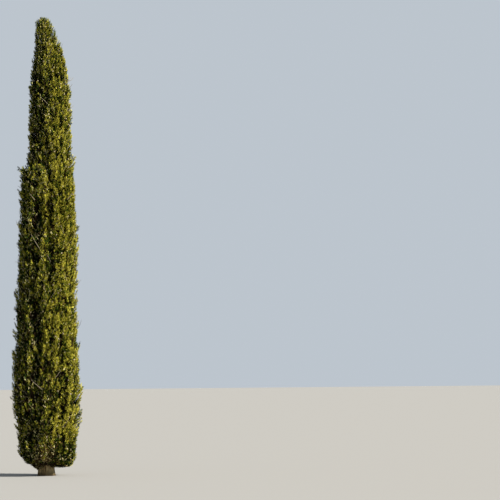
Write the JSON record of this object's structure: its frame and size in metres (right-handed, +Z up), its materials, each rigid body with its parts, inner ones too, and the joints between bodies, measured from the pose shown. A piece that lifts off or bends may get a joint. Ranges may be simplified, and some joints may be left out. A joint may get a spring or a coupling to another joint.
{
  "type": "italian cypress tree",
  "caption": "Narrow columnar evergreen tree with a short bare trunk, low boughs, and upright plumes of dense scale foliage up to a blunt leader; rooted at ground level.",
  "frame": {"origin": "centre of the flat cut under the trunk, at ground level", "axes": "+Z up the trunk, +X towards the right of the picture, -Y towards the camera"},
  "size_m": [1.4752, 1.4136, 9.5],
  "materials": {
    "bark": "fibrous grey-brown bark",
    "limb_bark": "fissured brown bark",
    "foliage": "matt scale-leaf sprays"
  },
  "bodies": {
    "root": {"trunk": "bark", "bough_1": "limb_bark", "bough_2": "limb_bark", "bough_3": "limb_bark", "bough_4": "limb_bark", "bough_5": "limb_bark", "bough_6": "limb_bark", "bough_7": "limb_bark", "foliage_tier1_1": "foliage", "foliage_tier1_2": "foliage", "foliage_tier1_3": "foliage", "foliage_tier1_4": "foliage", "foliage_tier1_5": "foliage", "foliage_tier1_6": "foliage", "foliage_tier1_7": "foliage", "foliage_tier2_1": "foliage", "foliage_tier2_2": "foliage", "foliage_tier2_3": "foliage", "foliage_tier2_4": "foliage", "foliage_tier2_5": "foliage", "foliage_tier2_6": "foliage", "foliage_tier2_7": "foliage", "foliage_tier3_1": "foliage", "foliage_tier3_2": "foliage", "foliage_tier3_3": "foliage", "foliage_tier3_4": "foliage", "foliage_tier3_5": "foliage", "foliage_tier3_6": "foliage", "foliage_tier3_7": "foliage", "foliage_tier4_1": "foliage", "foliage_tier4_2": "foliage", "foliage_tier4_3": "foliage", "foliage_tier4_4": "foliage", "foliage_tier4_5": "foliage", "foliage_tier4_6": "foliage", "foliage_tier4_7": "foliage", "foliage_tier5_1": "foliage", "foliage_tier5_2": "foliage", "foliage_tier5_3": "foliage", "foliage_tier5_4": "foliage", "foliage_tier5_5": "foliage", "foliage_tier5_6": "foliage", "foliage_tier5_7": "foliage", "foliage_tier6_1": "foliage", "foliage_tier6_2": "foliage", "foliage_tier6_3": "foliage", "foliage_tier6_4": "foliage", "foliage_tier6_5": "foliage", "foliage_tier6_6": "foliage", "foliage_tier6_7": "foliage", "foliage_leader": "foliage"}
  },
  "joints": []
}
